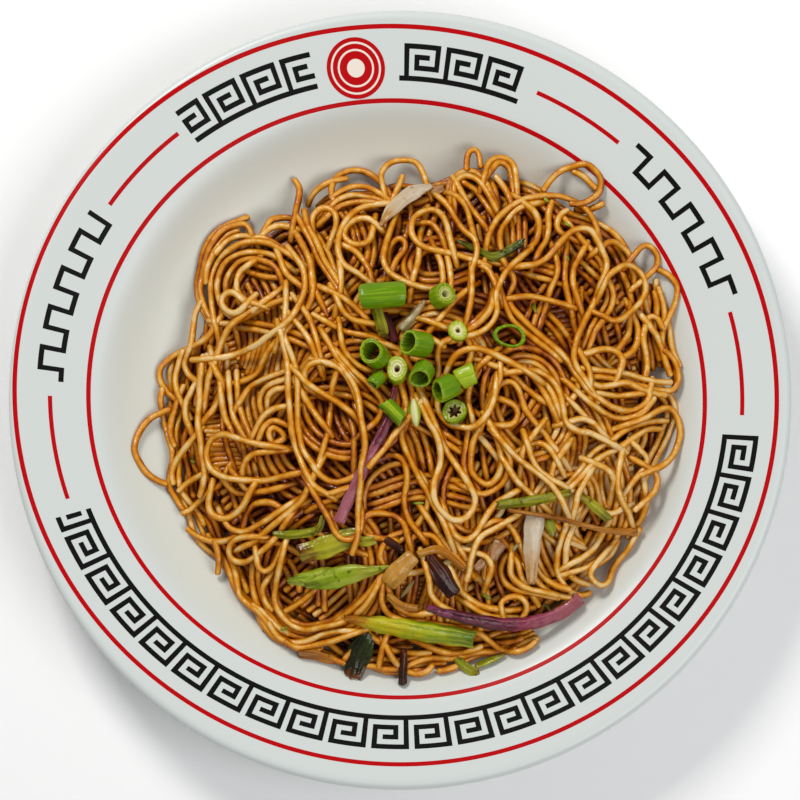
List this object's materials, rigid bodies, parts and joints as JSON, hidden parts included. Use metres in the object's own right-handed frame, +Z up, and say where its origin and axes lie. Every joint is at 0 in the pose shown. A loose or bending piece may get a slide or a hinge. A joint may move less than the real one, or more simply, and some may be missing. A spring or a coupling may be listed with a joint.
{
  "type": "plate of stir-fried noodles",
  "caption": "Plate of stir-fried noodles: a round wide-rimmed porcelain plate heaped with thin glazed wheat noodles, topped with spring onion rings, red onion strips and greens.",
  "frame": {"origin": "middle of the plate's foot, on the surface it stands on", "axes": "+Z up, +Y away from the diner, +X to the diner's right"},
  "size_m": [0.285, 0.285, 0.0549],
  "materials": {
    "porcelain_glaze": "glossy off-white porcelain glaze with printed red and black enamel",
    "soy_glazed_noodle": "oily glazed wheat noodle, golden brown",
    "red_onion": "moist purple skin and pale mauve flesh",
    "onion": "translucent cooked onion",
    "pale_stem": "yellow-green cooked stem, moist",
    "green_stem": "olive green cooked stem, moist",
    "green_leaf": "bright green cooked leaf, moist",
    "dark_leaf": "dark green wilted leaf, glossy",
    "browned_stalk": "soy-browned stalk, glossy",
    "browned_onion": "soy-browned onion slice, glossy",
    "dark_onion": "dark fried onion slice, glossy",
    "spring_onion": "fresh green spring onion, smooth and moist",
    "pale_spring_onion": "pale cut end of a spring onion, moist"
  },
  "bodies": {
    "root": {"plate": "porcelain_glaze", "noodles": "soy_glazed_noodle", "red_onion_1": "red_onion", "red_onion_2": "red_onion", "red_onion_3": "red_onion", "onion_1": "onion", "onion_2": "onion", "onion_3": "onion", "onion_4": "onion", "onion_5": "onion", "onion_6": "onion", "stem_1": "pale_stem", "stem_5": "pale_stem", "stem_2": "green_stem", "stem_3": "green_stem", "stem_4": "green_stem", "stem_6": "green_stem", "stem_7": "green_stem", "stem_8": "green_stem", "stem_9": "dark_leaf", "leaf_1": "dark_leaf", "leaf_2": "green_leaf", "stalk_1": "browned_stalk", "stalk_2": "browned_stalk", "browned_onion_2": "browned_onion", "browned_onion_3": "browned_onion", "browned_onion_4": "browned_onion", "browned_onion_1": "dark_onion", "browned_onion_5": "dark_onion", "spring_onion_01": "spring_onion", "spring_onion_02": "spring_onion", "spring_onion_03": "spring_onion", "spring_onion_04": "pale_spring_onion", "spring_onion_05": "spring_onion", "spring_onion_06": "spring_onion", "spring_onion_07": "spring_onion", "spring_onion_08": "pale_spring_onion", "spring_onion_09": "spring_onion", "spring_onion_10": "pale_spring_onion", "spring_onion_11": "spring_onion", "spring_onion_12": "pale_spring_onion", "spring_onion_13": "pale_spring_onion", "spring_onion_14": "spring_onion"}
  },
  "joints": []
}
